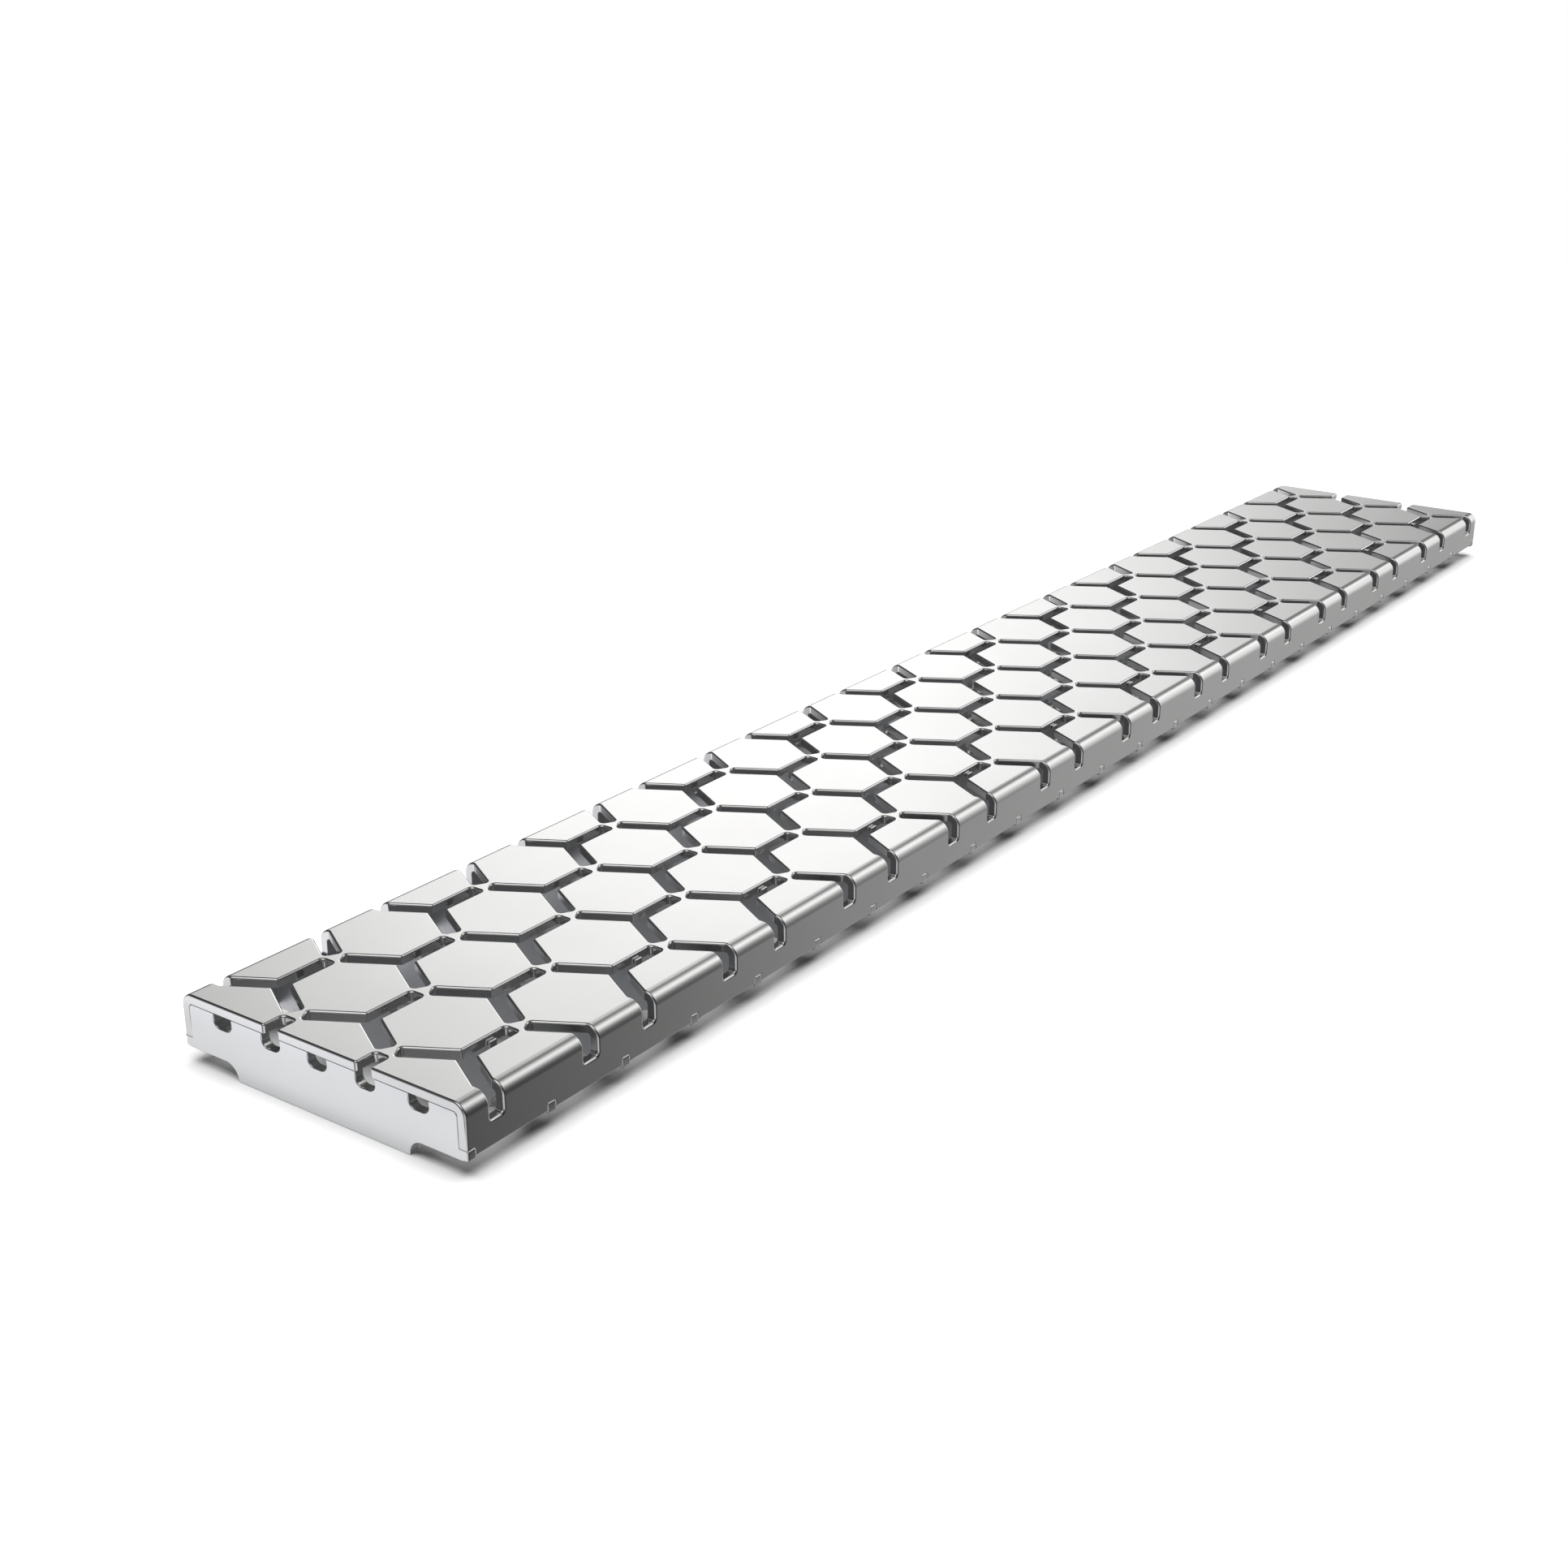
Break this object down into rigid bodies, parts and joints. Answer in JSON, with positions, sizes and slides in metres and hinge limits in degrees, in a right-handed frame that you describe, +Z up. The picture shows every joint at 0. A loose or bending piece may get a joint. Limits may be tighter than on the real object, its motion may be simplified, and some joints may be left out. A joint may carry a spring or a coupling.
{
  "type": "drain channel grate",
  "caption": "Long drain-channel grate: a folded stainless sheet with a honeycomb of three-armed slots, on cross plates whose ears key through its skirts.",
  "frame": {"origin": "middle of the grate's footprint at the bottom of the plate tongues", "axes": "+X along the grate from the near end to the far end, +Y to its left side, +Z up out of the walking surface"},
  "size_m": [1, 0.147, 0.0295],
  "materials": {
    "sheet_steel": "bead-blasted satin",
    "plate_steel": "mill finish, slightly darker",
    "end_plate_steel": "fine satin"
  },
  "bodies": {
    "root": {"deck_sheet": "sheet_steel", "near_end_plate": "end_plate_steel", "cross_plate_01": "plate_steel", "cross_plate_02": "plate_steel", "cross_plate_03": "plate_steel", "cross_plate_04": "plate_steel", "cross_plate_05": "plate_steel", "cross_plate_06": "plate_steel", "cross_plate_07": "plate_steel", "cross_plate_08": "plate_steel", "cross_plate_09": "plate_steel", "cross_plate_10": "plate_steel", "cross_plate_11": "plate_steel", "cross_plate_12": "plate_steel", "cross_plate_13": "plate_steel", "cross_plate_14": "plate_steel", "cross_plate_15": "plate_steel", "cross_plate_16": "plate_steel", "cross_plate_17": "plate_steel", "cross_plate_18": "plate_steel", "cross_plate_19": "plate_steel", "cross_plate_20": "plate_steel", "cross_plate_21": "plate_steel", "cross_plate_22": "plate_steel", "cross_plate_23": "plate_steel", "far_end_plate": "end_plate_steel"}
  },
  "joints": []
}
